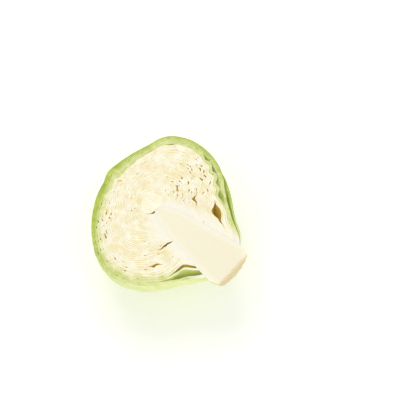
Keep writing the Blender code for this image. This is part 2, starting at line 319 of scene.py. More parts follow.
@dataclass
class LeafStack:
    """The leaves packed between the outside of the head and its heart."""

    shape: HeadShape
    leaves: list[Leaf]
    pockets: tuple[Pocket, ...] = (
        Pocket(44.0, 84.0, 26.0, 0.20, 2.2),
        Pocket(40.0, 79.5, 22.0, 0.20, 3.0),
        Pocket(-20.0, 88.5, 12.0, 0.24, 8.0),
        Pocket(-21.0, 77.0, 9.0, 0.18, 3.4),
        Pocket(32.0, 68.0, 6.0, 0.14, 10.0),
        Pocket(48.0, 69.5, 4.5, 0.10, 6.0),
        Pocket(60.0, 71.5, 4.0, 0.10, 4.2),
        Pocket(72.0, 74.5, 3.5, 0.10, 3.6),
        Pocket(83.0, 76.5, 3.0, 0.08, 3.4),
        Pocket(115.0, 70.0, 3.0, 0.08, 2.0),
        Pocket(-44.0, 68.0, 4.0, 0.10, 2.6),
        Pocket(46.5, 42.5, 6.0, 0.12, 2.6),
        Pocket(-28.0, 47.5, 7.5, 0.12, 2.4),
    )
    heart_share: float = 0.115
    margin_outside: float = 0.03
    margin_inside: float = 0.08
    uncovered_slot: float = 0.012
    swell_angle: float = 38.0
    contact_gap: float = 0.018 * MM
    fleck_gap: float = 1.7 * MM
    most_gap: float = 0.55
    strokes: float = 2.6
    stroke_length: float = 5.0 * MM
    fused_depth: float = 12.0 * MM
    calm_depth: float = 13.0 * MM
    crinkle_lengths: tuple[float, ...] = (40, 31, 25, 20, 16, 13, 11, 9.5, 8.5, 7.5, 6.5, 5.5, 4.8)
    crinkle_slope: float = 0.019
    crinkle_fade: float = 22.0 * MM
    gap_lengths: tuple[float, ...] = (15.0, 11.0, 8.0, 6.0, 4.5, 3.4)
    seed: int = 11
    hollows: list[tuple[int, float, Pocket]] = field(default_factory=list)

    def __post_init__(self) -> None:
        """Draws the waves that crinkle and part the leaves, and places the pockets."""
        draw = np.random.default_rng(self.seed)
        lengths = np.array(self.crinkle_lengths) * MM
        self.crinkle_waves = self.headings(draw, len(lengths)) * (2 * math.pi / lengths)[:, None]
        self.crinkle_sizes = lengths * self.crinkle_slope
        self.crinkle_starts = draw.uniform(0.0, 2 * math.pi, len(lengths))
        spans = np.array(self.gap_lengths) * MM
        size = (len(self.leaves), len(spans))
        self.gap_waves = self.headings(draw, size[0] * size[1]).reshape(*size, 3)
        self.gap_waves *= (2 * math.pi / spans)[None, :, None]
        self.gap_starts = draw.uniform(0.0, 2 * math.pi, size)
        for pocket in self.pockets:
            self.hollows.append(self.placed(pocket))

    def headings(self, draw: np.random.Generator, count: int) -> Array:
        """Unit vectors in every direction, drawn at random."""
        drawn = draw.normal(size=(count, 3))
        return drawn / np.linalg.norm(drawn, axis=1)[:, None]

    def placed(self, pocket: Pocket) -> tuple[int, float, Pocket]:
        """Finds where a pocket opens.

        Args:
            pocket: The pocket.

        Returns:
            The leaf it lies outside of, its size in leaf slots, and the pocket.
        """
        turn = math.radians(pocket.turn)
        spot = np.array([[math.cos(turn), math.sin(turn)]])
        before, weights, total = self.slots(spot)
        radius = self.shape.radius(self.shape.directions(spot))[0]
        shares = 1.0 - (1.0 - self.heart_share) * before[:, 0] / total[0]
        misses = np.abs(shares * radius - pocket.radius * MM) + (weights[:, 0] < 0.5)
        per_slot = radius * (1.0 - self.heart_share) / total[0]
        return int(np.argmin(misses)), pocket.width * MM / per_slot, pocket

    def coverage(self, leaf: Leaf, disc: Array) -> Array:
        """1 well inside a leaf, falling past its margin to what stays open there.

        Args:
            leaf: The leaf.
            disc: Points of the disc.

        Returns:
            The coverage at each point.
        """
        centre, radius = leaf.circle()
        inside = radius - np.hypot(*(disc - centre).T)
        covered = smooth((inside + self.margin_outside) / (self.margin_outside + self.margin_inside))
        return self.uncovered_slot + (1.0 - self.uncovered_slot) * covered

    def hollow(self, pocket: Pocket, disc: Array) -> Array:
        """A pocket's size over the disc, as a share of its greatest.

        Args:
            pocket: The pocket.
            disc: Points of the disc.

        Returns:
            The share at each point.
        """
        turn = np.arctan2(disc[:, 1], disc[:, 0]) - math.radians(pocket.turn)
        turn = (turn + math.pi) % (2 * math.pi) - math.pi
        along = turn / math.radians(pocket.spread)
        inward = (1.0 - np.hypot(disc[:, 0], disc[:, 1])) / pocket.inward
        return np.exp(-(along**2) - inward**2)

    def slots(self, disc: Array) -> tuple[Array, Array, Array]:
        """How the leaves share the depth of the head.

        Args:
            disc: Points of the disc.

        Returns:
            The slots outside each leaf, each leaf's own slot, and the total, at every point.
        """
        from_butt = np.arccos(np.clip(self.shape.directions(disc)[:, 0], -1.0, 1.0))
        near = np.exp(-((from_butt / math.radians(self.swell_angle)) ** 2))
        weights = np.array(
            [leaf.slot * (1.0 + leaf.swell * near) * self.coverage(leaf, disc) for leaf in self.leaves]
        )
        before = np.cumsum(weights, axis=0) - weights
        total = weights.sum(axis=0) + 0.6
        for index, size, pocket in self.hollows:
            extra = size * self.hollow(pocket, disc)
            before[index:] += extra
            total = total + extra
        return before, weights, total

    def crinkle(self, points: Array, radius: Array, outside: Array) -> Array:
        """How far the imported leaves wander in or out.

        Args:
            points: Places relative to the heart.
            radius: Their distances from the heart.
            outside: Distance to the outside of the head along the same directions.

        Returns:
            The wander in metres, fading to 0 at the outside and at the heart.
        """
        waves = np.sin(points @ self.crinkle_waves.T + self.crinkle_starts)
        wander = waves @ self.crinkle_sizes
        return wander * smooth((outside - radius) / self.crinkle_fade) * smooth(radius / (14.0 * MM))

    def looseness(self, spots: Array, outside: Array) -> Array:
        """How loosely the leaves are packed: most at one shoulder and inside the rim.

        Args:
            spots: Places relative to the heart.
            outside: Distance to the outside of the head along the same directions.

        Returns:
            The looseness at each place, from 0 to 1.
        """
        radius = np.linalg.norm(spots, axis=1)
        turn = np.degrees(np.arctan2(spots[:, 1], spots[:, 0]))
        rim = 1.0 - smooth((outside - radius - 13.0 * MM) / (10.0 * MM))
        # Each side: where it is and how wide, in degrees, how loose it gets, and how far in.
        sides = (
            (-104.0, 38.0, 1.0, rim),
            (140.0, 34.0, 0.45, rim),
            (72.0, 24.0, 1.0, smooth((radius / MM - 18.0) / 14.0)),
            (-42.0, 22.0, 0.45, smooth((radius / MM - 30.0) / 20.0)),
        )
        loose = sum(most * near * np.exp(-(((turn - at) / wide) ** 2)) for at, wide, most, near in sides)
        return np.clip(0.02 + loose, 0.0, 1.0)

    def gap(self, index: int, spots: Array, outside: Array) -> Array:
        """How wide a gap a leaf leaves on its inner side.

        Args:
            index: The leaf's place in the stack.
            spots: Places on the leaf, relative to the heart.
            outside: Distance to the outside of the head along the same directions.

        Returns:
            The width at each place, in metres.
        """
        waves = np.sin(spots @ self.gap_waves[index].T + self.gap_starts[index])
        broad = waves[:, :3].sum(axis=1)
        fine = waves[:, 3:].sum(axis=1)
        loose = self.looseness(spots, outside)
        fleck = smooth((0.8 * broad + fine - 2.4 + 1.5 * loose) / 1.2) * loose
        line = self.contact_gap * (1.0 + 0.9 * np.clip(broad, -1.0, 1.5))
        return line + self.fleck_gap * fleck

    def points(self, index: int, disc: Array, share: float, relief: Array | float = 0.0) -> Array:
        """Points on a leaf.

        Args:
            index: The leaf's place in the stack.
            disc: Points of the disc.
            share: 0 for the leaf's outer face and 1 for its inner face.
            relief: How far the outer face stands proud, in metres.

        Returns:
            The points, one to a row.
        """
        before, weights, total = self.slots(disc)
        away = self.shape.directions(disc)
        outside = self.shape.radius(away)
        per_slot = outside * (1.0 - self.heart_share) / total
        room = weights[index] * per_slot
        middle = outside - before[index] * per_slot - 0.5 * room
        spots = away * middle[:, None]
        clear = np.hypot(spots[:, 1], spots[:, 2]) - self.shape.core_radius(spots[:, 0])
        loose = 0.03 + 0.97 * smooth((clear - 2.0 * MM) / self.fused_depth)
        gap = np.minimum(self.gap(index, spots, outside) * loose, self.most_gap * room)
        radius = outside - before[index] * per_slot - share * (room - gap)
        radius = radius + self.crinkle(away * radius[:, None], radius, outside)
        made = away * (radius + relief)[:, None]
        made[:, 2] = np.maximum(made[:, 2] + self.shape.cut_height, 0.0)
        return made

    def sited(self, points: Array) -> tuple[Array, Array, Array]:
        """Where in the head places are.

        Args:
            points: The places.

        Returns:
            Depth under the outside in millimetres, degrees from the butt, and 1 on the right side.
        """
        spots = points - np.array([0.0, 0.0, self.shape.cut_height])
        radius = np.maximum(np.linalg.norm(spots, axis=1), 1e-6)
        away = spots / radius[:, None]
        deep = (self.shape.radius(away) - radius) / MM
        from_butt = np.degrees(np.arccos(np.clip(away[:, 0], -1.0, 1.0)))
        return deep, from_butt, smooth(away[:, 1] + 0.3)

    def greenness(self, zone: Zone, points: Array) -> Array:
        """How green a leaf is: deepest at the outside, fading inwards and towards the butt.

        Args:
            zone: Where in the head the leaf grows.
            points: Places on the leaf.

        Returns:
            The greenness at each, from 0 to 1.
        """
        deep, from_butt, right = self.sited(points)
        if zone is Zone.WRAPPER:
            spread = smooth((from_butt - 34.0 + 30.0 * right) / (100.0 - 60.0 * right))
            return spread * (1.0 - 0.8 * smooth((deep - 2.2) / (6.5 - 2.5 * right)))
        faded = smooth((deep - 3.0 + right) / (11.0 - 4.0 * right))
        return (1.0 - faded) * smooth((from_butt - 12.0) / 26.0)

    def grain(self, index: int, points: Array, through: Array) -> Array:
        """Coordinates in which a noise becomes strokes along the leaves.

        Args:
            index: The leaf's place in the stack.
            points: Places on the leaf.
            through: 0 on the leaf's outer face and 1 on its inner face.

        Returns:
            Two slow coordinates along the leaf and a fast one across it, as rows.
        """
        across = (index + 0.85 * through) * self.strokes
        return points / self.stroke_length + np.outer(across, (0.3, 0.5, 0.81))

    def calm(self, points: Array) -> Array:
        """How much the leaf is one with the stem: fully beside it, and not at all further off.

        Args:
            points: Places on the leaf.

        Returns:
            The share at each, from 0 to 1.
        """
        tip = 9.0 * MM
        off_axis = np.hypot(points[:, 1], points[:, 2] - self.shape.cut_height)
        beside = off_axis - self.shape.core_radius(points[:, 0])
        beyond = np.hypot(points[:, 0] - tip, off_axis)
        clear = np.where(points[:, 0] < tip, beyond, beside)
        return 1.0 - smooth((clear - 1.0 * MM) / self.calm_depth)


# ---------------------------------------------------------------------------------------------
# Materials
# ---------------------------------------------------------------------------------------------


class Recipe:
    """A node material under construction round one Principled shader."""

    def __init__(self, name: str) -> None:
        """Starts the material.

        Args:
            name: The material's name.
        """
        self.material = bpy.data.materials.new(name)
        self.material.use_nodes = True
        self.tree = self.material.node_tree
        self.shader = self.tree.nodes["Principled BSDF"]

    def add(
        self, kind: str, links: dict | None = None, values: dict | None = None, **settings
    ) -> bpy.types.Node:
        """Adds a node with its settings, links and values.

        Args:
            kind: The node's type.
            links: Input socket to the output socket that feeds it.
            values: Input socket to its value.
            **settings: Attributes of the node.

        Returns:
            The node.
        """
        node = self.tree.nodes.new(kind)
        for key, value in settings.items():
            setattr(node, key, value)
        for key, value in (values or {}).items():
            node.inputs[key].default_value = value
        for key, source in (links or {}).items():
            self.tree.links.new(source, node.inputs[key])
        return node

    def feed(self, socket: str, source: Socket) -> None:
        """Links an output to one of the shader's sockets."""
        self.tree.links.new(source, self.shader.inputs[socket])


@dataclass(frozen=True)
class FleshColours:
    """The sRGB colours of a leaf: its surface, its veins, and where it is cut."""

    blade: str
    deep_blade: str
    vein: str
    cut: str
    deep_cut: str
    # Colour of the darker lines in the cut flesh: partly the skins' own colour, partly painted shade of the
    # thin gaps between leaves.
    skin_line_and_gap_shade: str


@dataclass(frozen=True)
class LeafFlesh:
    """Fresh cabbage leaf: a thin waxy skin over moist, crisp, slightly see-through tissue.

    The skin is green outside and golden cream near the heart, with pale veins. Where the knife
    went through, the flesh is nearly white and a little wet, so it shines more evenly. The uncut
    skin also has a painted glow: it gives off a little light in its own colour, standing in for
    light carried through the thin leaves, and keeps the gaps between them warm instead of black.
    """

    name: str
    inner: FleshColours
    outer: FleshColours
    cut_height: float
    skin_roughness: float = 0.46
    cut_roughness: float = 0.42
    network_mm: float = 5.0
    mottle_mm: float = 15.0
    tint_mm: float = 12.0
    grain_mm: float = 1.3
    plies: float = 1.0
    stem_side: str = "FBF5E0"
    # Strength of the painted glow: the uncut skins give off a little light in their own colour, in place of
    # light carried through the thin leaves.
    painted_glow_strength: float = 0.09
    glow: float = 0.14
    glow_reach_mm: float = 2.5

    def build(self) -> bpy.types.Material:
        """Makes the material."""
        made = Recipe(self.name)
        place = made.add("ShaderNodeTexCoord").outputs["Object"]
        vein = made.add("ShaderNodeAttribute", attribute_name="vein").outputs["Fac"]
        through = made.add("ShaderNodeAttribute", attribute_name="through").outputs["Fac"]
        green = made.add("ShaderNodeAttribute", attribute_name="green").outputs["Fac"]
        mottle = made.add(
            "ShaderNodeTexNoise",
            {"Vector": place},
            {"Scale": 1000.0 / self.mottle_mm, "Detail": 4.0, "Roughness": 0.6},
        ).outputs["Fac"]
        spread = made.add(
            "ShaderNodeMapRange", {"Value": mottle}, {"From Min": 0.34, "From Max": 0.66}
        ).outputs["Result"]
        network = self.network(made, place)
        veined = made.add("ShaderNodeMath", {0: vein, 1: network}, operation="MAXIMUM").outputs[0]
        calm = made.add("ShaderNodeAttribute", attribute_name="calm").outputs["Fac"]
        # Darker lines in the cut flesh: partly skin colour, partly painted shade of the gaps between plies
        # and leaves.
        line = self.skin_lines_and_gap_shade(made, place, through, calm)
        grain = made.add("ShaderNodeAttribute", attribute_name="grain").outputs["Vector"]
        stroke = made.add(
            "ShaderNodeTexNoise", {"Vector": grain}, {"Scale": 1.0, "Detail": 3.0, "Roughness": 0.6}
        ).outputs["Fac"]
        tint = made.add(
            "ShaderNodeTexNoise", {"Vector": place}, {"Scale": 1000.0 / self.tint_mm, "Detail": 3.0}
        ).outputs["Fac"]
        mixed = made.add("ShaderNodeMath", {0: stroke, 1: tint}, operation="ADD").outputs[0]
        tinted = made.add(
            "ShaderNodeMapRange", {"Value": mixed}, {"From Min": 0.88, "From Max": 1.22}
        ).outputs["Result"]
        skins, cuts = [], []
        for tone in (self.inner, self.outer):
            blade = made.add(
                "ShaderNodeMix",
                {"Factor": spread},
                {6: linear(tone.deep_blade), 7: linear(tone.blade)},
                data_type="RGBA",
            ).outputs[2]
            skins.append(
                made.add(
                    "ShaderNodeMix",
                    {"Factor": veined, 6: blade},
                    {7: linear(tone.vein)},
                    data_type="RGBA",
                ).outputs[2]
            )
            plain = made.add(
                "ShaderNodeMix",
                {"Factor": tinted},
                {6: linear(tone.cut), 7: linear(tone.deep_cut)},
                data_type="RGBA",
            ).outputs[2]
            # The cut flesh darkened along the lines: partly skin colour, partly painted gap shade.
            cuts.append(
                made.add(
                    "ShaderNodeMix",
                    {"Factor": line, 6: plain},
                    {7: linear(tone.skin_line_and_gap_shade)},
                    data_type="RGBA",
                ).outputs[2]
            )
        skin, flesh = (
            made.add("ShaderNodeMix", {"Factor": green, 6: pair[0], 7: pair[1]}, data_type="RGBA").outputs[2]
            for pair in (skins, cuts)
        )
        stemmed = made.add(
            "ShaderNodeMix", {"Factor": calm, 6: flesh}, {7: linear(self.stem_side)}, data_type="RGBA"
        ).outputs[2]
        height = made.add("ShaderNodeSeparateXYZ", {0: place}).outputs["Z"]
        cut = made.add(
            "ShaderNodeMath", {0: height}, {1: self.cut_height - 0.12 * MM}, operation="GREATER_THAN"
        ).outputs[0]
        colour = made.add("ShaderNodeMix", {"Factor": cut, 6: skin, 7: stemmed}, data_type="RGBA").outputs[2]
        made.feed("Base Color", colour)
        # Painted glow: the uncut skin gives off a little light in its own colour, standing in for light
        # carried through the thin leaves. The cut flesh gives off none.
        made.feed("Emission Color", skin)
        painted_glow_map = made.add(
            "ShaderNodeMapRange", {"Value": cut}, {"To Min": self.painted_glow_strength, "To Max": 0.0}
        ).outputs["Result"]
        made.feed("Emission Strength", painted_glow_map)
        roughness = made.add(
            "ShaderNodeMapRange",
            {"Value": cut},
            {"To Min": self.skin_roughness, "To Max": self.cut_roughness},
        ).outputs["Result"]
        made.feed("Roughness", roughness)
        self.relief(made, place, network)
        made.shader.inputs["IOR"].default_value = 1.40
        made.shader.inputs["Subsurface Weight"].default_value = self.glow
        made.shader.inputs["Subsurface Radius"].default_value = (1.0, 0.85, 0.35)
        made.shader.inputs["Subsurface Scale"].default_value = self.glow_reach_mm * MM
        return made.material

    def skin_lines_and_gap_shade(self, made: Recipe, place: Socket, through: Socket, calm: Socket) -> Socket:
        """The darker lines in a cut leaf, broken here and there: partly the own colour of its plies' skins
        and partly painted shade of the thin gaps between pressed plies and leaves.

        Args:
            made: The material under construction.
            place: The coordinates.
            through: The socket that holds how far through the leaf a point is.
            calm: The socket that holds how much the leaf is one with the stem.

        Returns:
            The output socket that holds the lines' strength.
        """
        patches = made.add(
            "ShaderNodeTexNoise", {"Vector": place}, {"Scale": 1000.0 / 6.0, "Detail": 3.0}
        ).outputs["Fac"]
        wander = made.add(
            "ShaderNodeMath", {0: patches, 2: through}, {1: 0.35}, operation="MULTIPLY_ADD"
        ).outputs[0]
        folded = made.add(
            "ShaderNodeMath", {0: wander}, {1: 0.5 / self.plies}, operation="PINGPONG"
        ).outputs[0]
        skins = made.add(
            "ShaderNodeMapRange",
            {"Value": folded},
            {"From Min": 0.03 / self.plies, "From Max": 0.22 / self.plies, "To Min": 1.0, "To Max": 0.0},
            interpolation_type="SMOOTHSTEP",
        ).outputs["Result"]
        broken = made.add(
            "ShaderNodeMapRange", {"Value": patches}, {"From Min": 0.36, "From Max": 0.62, "To Min": 0.25}
        ).outputs["Result"]
        lines = made.add("ShaderNodeMath", {0: skins, 1: broken}, operation="MULTIPLY").outputs[0]
        free = made.add("ShaderNodeMath", {1: calm}, {0: 1.0}, operation="SUBTRACT").outputs[0]
        return made.add("ShaderNodeMath", {0: lines, 1: free}, operation="MULTIPLY").outputs[0]

    def network(self, made: Recipe, place: Socket) -> Socket:
        """The net of the finest veins, as a share of the vein colour.

        Args:
            made: The material under construction.
            place: The coordinates.

        Returns:
            The output socket that holds the share.
        """
        bent = made.add(
            "ShaderNodeTexNoise", {"Vector": place}, {"Scale": 260.0, "Detail": 1.0}
        ).outputs["Color"]
        moved = made.add(
            "ShaderNodeVectorMath", {0: bent, 2: place}, {1: (0.002, 0.002, 0.002)}, operation="MULTIPLY_ADD"
        ).outputs[0]
        cells = made.add(
            "ShaderNodeTexVoronoi",
            {"Vector": moved},
            {"Scale": 1000.0 / self.network_mm},
            feature="DISTANCE_TO_EDGE",
        ).outputs["Distance"]
        return made.add(
            "ShaderNodeMapRange",
            {"Value": cells},
            {"From Min": 0.0, "From Max": 0.12, "To Min": 0.16, "To Max": 0.0},
            interpolation_type="SMOOTHSTEP",
        ).outputs["Result"]

    def relief(self, made: Recipe, place: Socket, network: Socket) -> None:
        """Raises the finest veins and the grain of the flesh.

        Args:
            made: The material under construction.
            place: The coordinates.
            network: The socket that holds the net of veins.
        """
        grain = made.add(
            "ShaderNodeTexNoise", {"Vector": place}, {"Scale": 1000.0 / self.grain_mm, "Detail": 2.0}
        ).outputs["Fac"]
        height = made.add(
            "ShaderNodeMath", {0: network, 2: grain}, {1: 1.6}, operation="MULTIPLY_ADD"
        ).outputs[0]
        bump = made.add(
            "ShaderNodeBump", {"Height": height}, {"Strength": 0.35, "Distance": 0.35 * MM}
        ).outputs["Normal"]
        made.feed("Normal", bump)


@dataclass(frozen=True)
class CoreFlesh:
    """Cabbage stem: crisp cream pith in long fibres, wet on the cut and dried tan at the butt."""

    butt_x: float
    cut_height: float
    pith: str = "F3ECD2"
    fibre: str = "EFE5C4"
    leaf_side: str = "F8F2DC"
    dried: str = "E0C594"
    bark: str = "DDE2A6"
    fibre_mm: float = 1.6
    roughness: float = 0.36

    def build(self) -> bpy.types.Material:
        """Makes the material."""
        made = Recipe("core_flesh_moist")
        place = made.add("ShaderNodeTexCoord").outputs["Object"]
        stretched = made.add(
            "ShaderNodeMapping", {"Vector": place}, {"Scale": (0.07, 1.0, 1.0)}
        ).outputs["Vector"]
        fibres = made.add(
            "ShaderNodeTexNoise",
            {"Vector": stretched},
            {"Scale": 1000.0 / self.fibre_mm, "Detail": 3.0, "Roughness": 0.6},
        ).outputs["Fac"]
        streak = made.add(
            "ShaderNodeMapRange", {"Value": fibres}, {"From Min": 0.50, "From Max": 0.78, "To Max": 0.55}
        ).outputs["Result"]
        pith = made.add(
            "ShaderNodeMix",
            {"Factor": streak},
            {6: linear(self.pith), 7: linear(self.fibre)},
            data_type="RGBA",
        ).outputs[2]
        split = made.add("ShaderNodeSeparateXYZ", {0: place})
        cut = made.add(
            "ShaderNodeMath",
            {0: split.outputs["Z"]},
            {1: self.cut_height - 0.4 * MM},
            operation="GREATER_THAN",
        ).outputs[0]
        calm = made.add("ShaderNodeAttribute", attribute_name="calm").outputs["Fac"]
        edged = made.add(
            "ShaderNodeMix", {"Factor": calm, 6: pith}, {7: linear(self.leaf_side)}, data_type="RGBA"
        ).outputs[2]
        sided = made.add(
            "ShaderNodeMix", {"Factor": cut, 7: edged}, {6: linear(self.bark)}, data_type="RGBA"
        ).outputs[2]
        patches = made.add(
            "ShaderNodeTexNoise", {"Vector": place}, {"Scale": 140.0, "Detail": 4.0}
        ).outputs["Fac"]
        near_butt = made.add(
            "ShaderNodeMath", {0: patches, 2: split.outputs["X"]}, {1: 4.0 * MM}, operation="MULTIPLY_ADD"
        ).outputs[0]
        drying = made.add(
            "ShaderNodeMapRange",
            {"Value": near_butt},
            {"From Min": self.butt_x - 1.2 * MM, "From Max": self.butt_x + 2.6 * MM, "To Max": 0.78},
            interpolation_type="SMOOTHSTEP",
        ).outputs["Result"]
        colour = made.add(
            "ShaderNodeMix", {"Factor": drying, 6: sided}, {7: linear(self.dried)}, data_type="RGBA"
        ).outputs[2]
        made.feed("Base Color", colour)
        bump = made.add(
            "ShaderNodeBump", {"Height": fibres}, {"Strength": 0.25, "Distance": 0.3 * MM}
        ).outputs["Normal"]
        made.feed("Normal", bump)
        made.shader.inputs["Roughness"].default_value = self.roughness
        made.shader.inputs["IOR"].default_value = 1.40
        made.shader.inputs["Subsurface Weight"].default_value = 0.35
        made.shader.inputs["Subsurface Radius"].default_value = (1.0, 0.85, 0.4)
        made.shader.inputs["Subsurface Scale"].default_value = 3.5 * MM
        return made.material


@dataclass(frozen=True)
class StudioPaper:
    """Matt white paper under the object, lit a little from below so that shadows stay light."""

    colour: str = "FAFBF8"
    lit_from_below: float = 0.13

    def build(self) -> bpy.types.Material:
        """Makes the material."""
        made = Recipe("studio_paper")
        made.shader.inputs["Base Color"].default_value = linear(self.colour)
        made.shader.inputs["Roughness"].default_value = 0.9
        made.shader.inputs["Specular IOR Level"].default_value = 0.1
        made.shader.inputs["Emission Color"].default_value = linear(self.colour)
        made.shader.inputs["Emission Strength"].default_value = self.lit_from_below
        return made.material


# ---------------------------------------------------------------------------------------------
# Pieces
# ---------------------------------------------------------------------------------------------


def read_corners(obj: bpy.types.Object) -> Array:
    """The object's vertices as rows."""
    held = np.empty(len(obj.data.vertices) * 3)
    obj.data.vertices.foreach_get("co", held)
    return held.reshape(-1, 3)


def write_corners(obj: bpy.types.Object, points: Array) -> None:
    """Moves the object's vertices."""
    obj.data.vertices.foreach_set("co", points.ravel())
    obj.data.update()


def write_attribute(obj: bpy.types.Object, name: str, values: Array) -> None:
    """Stores a number for each vertex."""
    held = obj.data.attributes.new(name, "FLOAT", "POINT")
    held.data.foreach_set("value", np.ascontiguousarray(values, np.float32))


def write_grain(obj: bpy.types.Object, rows: Array) -> None:
    """Stores the grain coordinates for each vertex."""
    held = obj.data.attributes.new("grain", "FLOAT_VECTOR", "POINT")
    held.data.foreach_set("vector", np.ascontiguousarray(rows, np.float32).ravel())


def only(obj: bpy.types.Object) -> None:
    """Selects one object alone."""
    bpy.ops.object.select_all(action="DESELECT")
    obj.select_set(True)
    bpy.context.view_layer.objects.active = obj


def close_up(obj: bpy.types.Object, merge: float, angle: float) -> None:
    """Joins corners that meet, turns the faces outwards and smooths the shading.

    Args:
        obj: The object.
        merge: Corners closer than this become one.
        angle: Edges sharper than this stay sharp, in degrees.
    """
    only(obj)
    bpy.ops.object.mode_set(mode="EDIT")
    bpy.ops.mesh.select_all(action="SELECT")
    bpy.ops.mesh.remove_doubles(threshold=merge)
    bpy.ops.mesh.normals_make_consistent(inside=False)
    bpy.ops.object.mode_set(mode="OBJECT")
    bpy.ops.object.shade_smooth_by_angle(angle=math.radians(angle))


def dress(obj: bpy.types.Object, material: bpy.types.Material, node: str) -> None:
    """Gives a piece its finish and its place in the frame.

    Args:
        obj: The piece.
        material: Its material.
        node: The solid it stands for.
    """
    obj.data.materials.clear()
    obj.data.materials.append(material)
    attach(obj, "root")
    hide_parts(node)
    LOG.info("%s: %d faces", obj.name, len(obj.data.polygons))


@dataclass(frozen=True)
class Vein:
    """One vein of a leaf: its route on the disc, and its width and height at both ends."""

    route: Array
    widths: tuple[float, float]
    heights: tuple[float, float]
    shows: float


@dataclass
class VeinTree:
    """The veins of one wrapper leaf: a broad midrib, its side ribs, and their branches."""

    leaf: Leaf
    rib_count: int = 8
    first_rib: float = 0.16
    rib_spacing: float = 0.215
    rib_angle: float = 46.0
    rib_bend: float = 24.0
    rib_length: float = 1.05
    branch_steps: tuple[int, ...] = (3, 5, 6, 8, 9)
    branch_angle: float = 48.0
    branch_share: float = 0.27
    span: float = 80.0 * MM
    steps: int = 12

    def route(self, start: Array, heading: float, bend: float, length: float) -> Array:
        """A gently bending line on the disc.

        Args:
            start: Where it starts.
            heading: The way it sets off, as an angle on the disc.
            bend: How far it turns along its length.
            length: Its length.

        Returns:
            Its points.
        """
        parts = np.linspace(0.0, 1.0, self.steps)
        turns = heading + bend * parts
        pace = length / (self.steps - 1)
        moves = np.column_stack([np.cos(turns), np.sin(turns)])[:-1] * pace
        return np.vstack([start, start + np.cumsum(moves, axis=0)])

    def veins(self) -> list[Vein]:
        """Every vein of the leaf."""
        forward = math.pi - math.radians(self.leaf.angle)
        base = np.array([1.0, 0.0])
        midrib = self.route(base, forward, 0.0, self.leaf.reach * 0.93)
        made = [Vein(midrib, (7.5 * MM, 1.2 * MM), (2.2 * MM, 0.3 * MM), 1.0)]
        for rib in range(self.rib_count):
            for side in (-1.0, 1.0):
                along = self.first_rib + self.rib_spacing * (rib + 0.25 * side)
                start = base + along * np.array([math.cos(forward), math.sin(forward)])
                turn = math.radians(self.rib_angle - 2.0 * rib) * side
                bend = -math.radians(self.rib_bend) * side
                length = self.rib_length * (1.0 - 0.075 * rib)
                way = self.route(start, forward + turn, bend, length)
                made.append(Vein(way, (2.6 * MM, 0.7 * MM), (1.1 * MM, 0.15 * MM), 0.85))
                made += self.branches(way, side, length)
        return made

    def branches(self, way: Array, side: float, length: float) -> list[Vein]:
        """The branches of one side rib.

        Args:
            way: The rib's route.
            side: Which side of the midrib it is on.
            length: The rib's length.

        Returns:
            The branches.
        """
        made = []
        for number, step in enumerate(self.branch_steps):
            ahead = way[step + 1] - way[step]
            heading = math.atan2(ahead[1], ahead[0])
            turn = math.radians(self.branch_angle) * side * (-1.0 if number % 2 else 1.0)
            line = self.route(way[step], heading + turn, -turn * 0.5, length * self.branch_share)
            made.append(Vein(line, (1.3 * MM, 0.5 * MM), (0.45 * MM, 0.1 * MM), 0.6))
        return made

    def read(self, shape: HeadShape, disc: Array) -> tuple[Array, Array]:
        """Height and colour share of the veins.

        Args:
            shape: The head.
            disc: Points of the disc.

        Returns:
            The height of the veins in metres, and how much of the vein colour shows.
        """
        spots = shape.directions(disc) * self.span
        height = np.zeros(len(disc))
        shows = np.zeros(len(disc))
        for vein in self.veins():
            line = shape.directions(vein.route) * self.span
            for step in range(len(line) - 1):
                start, run = line[step], line[step + 1] - line[step]
                low = np.minimum(start, line[step + 1]) - 3.0 * vein.widths[0]
                high = np.maximum(start, line[step + 1]) + 3.0 * vein.widths[0]
                near = np.flatnonzero(((spots > low) & (spots < high)).all(axis=1))
                if not len(near):
                    continue
                part = np.clip((spots[near] - start) @ run / (run @ run), 0.0, 1.0)
                miss = np.linalg.norm(spots[near] - start - part[:, None] * run, axis=1)
                along = (step + part) / (len(line) - 1)
                width = vein.widths[0] + along * (vein.widths[1] - vein.widths[0])
                tall = vein.heights[0] + along * (vein.heights[1] - vein.heights[0])
                height[near] = np.maximum(height[near], tall * np.exp(-((miss / width) ** 2)))
                seen = vein.shows * (1.0 - 0.5 * along) * np.exp(-((miss / (0.8 * width)) ** 2))
                shows[near] = np.maximum(shows[near], seen)
        return height, shows


